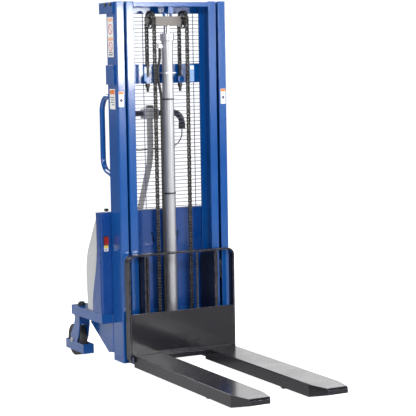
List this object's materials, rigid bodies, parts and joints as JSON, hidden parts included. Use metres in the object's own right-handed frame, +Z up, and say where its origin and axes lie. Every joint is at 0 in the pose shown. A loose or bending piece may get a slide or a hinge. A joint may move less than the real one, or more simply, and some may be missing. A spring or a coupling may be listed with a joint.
{
  "type": "walkie stacker",
  "caption": "Pedestrian stacker with a two-stage channel mast, central lift cylinder and chains, forks over support legs, load guard, swivel casters and a tilting tiller.",
  "frame": {"origin": "on the floor, under the middle of the machine's bounding box", "axes": "+X to the right as seen from the forks' side looking at the mast, +Y from the fork tips to the operator, +Z up"},
  "size_m": [0.7552, 1.847, 1.858],
  "materials": {
    "mast_blue": "gloss enamel",
    "shell_blue": "gloss enamel",
    "cover_grey": "satin moulded",
    "battery_case": "matt",
    "pump_steel": "satin",
    "cylinder_silver": "silver paint",
    "rod_chrome": "polished",
    "hose_rubber": "matt",
    "zinc": "zinc plated",
    "wire_blue": "satin",
    "cast_grey": "painted casting",
    "chain_steel": "oiled",
    "fork_black": "satin black",
    "wheel_black": "matt",
    "socket_red": "gloss",
    "knob_black": "satin",
    "grip_rubber": "matt",
    "tiller_grey": "satin"
  },
  "bodies": {
    "chassis": {"outer_channel_left": "mast_blue", "outer_channel_right": "mast_blue", "outer_top_beam": "mast_blue", "outer_mid_beam": "mast_blue", "base_frame": "mast_blue", "support_leg_left": "mast_blue", "support_leg_right": "mast_blue", "side_gussets": "mast_blue", "caster_frame": "mast_blue", "tiller_bracket": "mast_blue", "body_shell": "shell_blue", "grab_handles": "shell_blue", "rear_cover": "cover_grey", "battery": "battery_case", "power_unit": "pump_steel", "cylinder_barrel": "cylinder_silver", "cylinder_head": "cylinder_silver", "cylinder_ring": "cylinder_silver", "lift_hose": "hose_rubber", "hose_fittings": "zinc", "load_roller_axles": "zinc", "back_anchors": "zinc", "mesh_guard": "wire_blue", "charge_socket": "socket_red", "frame_bolts": "knob_black", "back_chains": "chain_steel"},
    "inner_mast": {"inner_channel_left": "mast_blue", "inner_channel_right": "mast_blue", "inner_ties": "mast_blue", "crosshead": "cast_grey", "piston_rod": "rod_chrome", "chain_wraps": "chain_steel", "mast_rollers": "chain_steel"},
    "carriage": {"carriage_side_left": "fork_black", "carriage_side_right": "fork_black", "carriage_bars": "fork_black", "backrest_frame": "fork_black", "load_plate": "fork_black", "fork_left": "fork_black", "fork_right": "fork_black", "heel_beam": "fork_black", "carriage_rollers": "chain_steel", "front_anchors": "zinc", "front_chains": "chain_steel"},
    "sprocket_left": {"sprocket_left": "chain_steel"},
    "sprocket_right": {"sprocket_right": "chain_steel"},
    "caster_left": {"caster_fork_left": "mast_blue", "caster_axle_left": "zinc"},
    "caster_wheel_left": {"caster_wheel_left": "wheel_black"},
    "load_roller_left": {"load_roller_left": "wheel_black"},
    "caster_right": {"caster_fork_right": "mast_blue", "caster_axle_right": "zinc"},
    "caster_wheel_right": {"caster_wheel_right": "wheel_black"},
    "load_roller_right": {"load_roller_right": "wheel_black"},
    "tiller": {"tiller_arm": "tiller_grey", "tiller_bar": "knob_black", "tiller_grips": "grip_rubber", "tiller_cables": "grip_rubber"},
    "lift_rocker": {"lift_rocker": "knob_black"},
    "stop_button": {"stop_button": "knob_black"}
  },
  "joints": [
    {"name": "mast_lift", "type": "slide", "parent": "chassis", "child": "inner_mast", "axis": [0, 0, 1], "range_m": [0, 1.206], "deforming": ["back_chains"]},
    {"name": "carriage_lift", "type": "slide", "parent": "inner_mast", "child": "carriage", "axis": [0, 0, 1], "range_m": [0, 1.2061], "deforming": ["front_chains"]},
    {"name": "sprocket_left_spin", "type": "hinge", "parent": "inner_mast", "child": "sprocket_left", "pos_m": [-0.092, 0.3555, 1.762], "axis": [1, 0, 0], "continuous": true},
    {"name": "sprocket_right_spin", "type": "hinge", "parent": "inner_mast", "child": "sprocket_right", "pos_m": [0.092, 0.3555, 1.762], "axis": [1, 0, 0], "continuous": true},
    {"name": "caster_left_swivel", "type": "hinge", "parent": "chassis", "child": "caster_left", "pos_m": [-0.336, 0.7615, 0.25], "axis": [0, 0, 1], "continuous": true},
    {"name": "caster_wheel_left_roll", "type": "hinge", "parent": "caster_left", "child": "caster_wheel_left", "pos_m": [-0.336, 0.8275, 0.084], "axis": [1, 0, 0], "continuous": true},
    {"name": "load_roller_left_roll", "type": "hinge", "parent": "chassis", "child": "load_roller_left", "pos_m": [-0.2015, -0.4745, 0.037], "axis": [1, 0, 0], "continuous": true},
    {"name": "caster_right_swivel", "type": "hinge", "parent": "chassis", "child": "caster_right", "pos_m": [0.336, 0.7615, 0.25], "axis": [0, 0, 1], "continuous": true},
    {"name": "caster_wheel_right_roll", "type": "hinge", "parent": "caster_right", "child": "caster_wheel_right", "pos_m": [0.336, 0.8275, 0.084], "axis": [1, 0, 0], "continuous": true},
    {"name": "load_roller_right_roll", "type": "hinge", "parent": "chassis", "child": "load_roller_right", "pos_m": [0.2015, -0.4745, 0.037], "axis": [1, 0, 0], "continuous": true},
    {"name": "tiller_tilt", "type": "hinge", "parent": "chassis", "child": "tiller", "pos_m": [0, 0.7835, 0.42], "axis": [-1, 0, 0], "range_deg": [0, 65]},
    {"name": "rocker_press", "type": "hinge", "parent": "tiller", "child": "lift_rocker", "pos_m": [0, 0.5795, 1.321], "axis": [1, 0, 0], "range_deg": [-12, 12], "stiffness_Nm_per_rad": 0.3},
    {"name": "stop_press", "type": "slide", "parent": "chassis", "child": "stop_button", "axis": [0, 0, -1], "range_m": [0, 0.005], "stiffness_N_per_m": 300}
  ],
  "couplings": [
    {"joint": "carriage_lift", "follows": "mast_lift", "ratio": 1},
    {"joint": "sprocket_left_spin", "follows": "mast_lift", "rad_per_m": -22.222},
    {"joint": "sprocket_right_spin", "follows": "mast_lift", "rad_per_m": -22.222}
  ]
}
